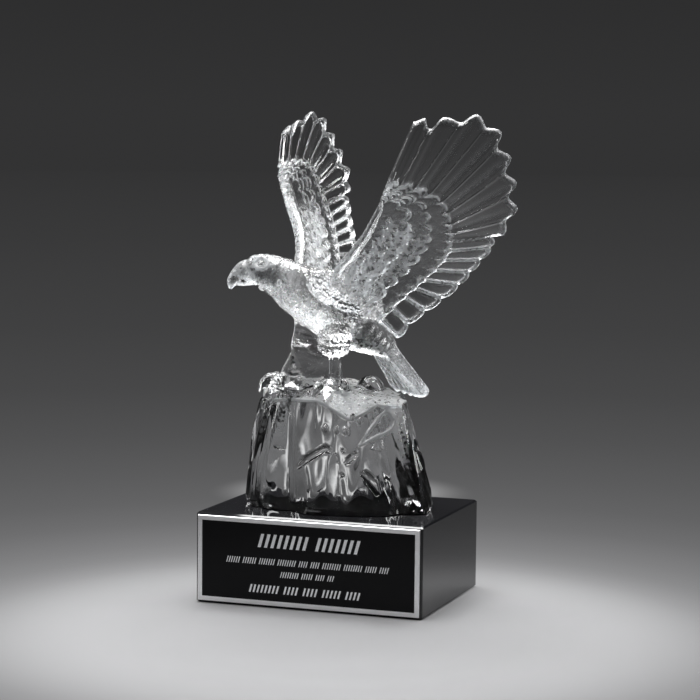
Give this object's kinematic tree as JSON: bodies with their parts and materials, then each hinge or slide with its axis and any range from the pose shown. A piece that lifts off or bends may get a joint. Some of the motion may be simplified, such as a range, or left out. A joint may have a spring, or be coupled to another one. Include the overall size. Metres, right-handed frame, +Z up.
{
  "type": "crystal eagle sculpture",
  "caption": "Award sculpture: a clear cast-glass eagle with raised wings on a rock, on a black glass block with an engraved metal plate.",
  "frame": {"origin": "centre of the black block's underside, on the surface it stands on", "axes": "+Z up, -Y out of the face that carries the plate, +X to the right of someone reading the plate"},
  "size_m": [0.1557, 0.1524, 0.2477],
  "materials": {
    "clear_glass": "polished clear lead crystal, moulded relief, faintly frosted on the head",
    "black_glass": "polished opaque black glass",
    "plate_metal": "thin metal plate, black field with a bare silver border and silver marks"
  },
  "bodies": {
    "root": {"crystal_eagle": "clear_glass", "black_glass_block": "black_glass", "engraved_plate": "plate_metal"}
  },
  "joints": []
}
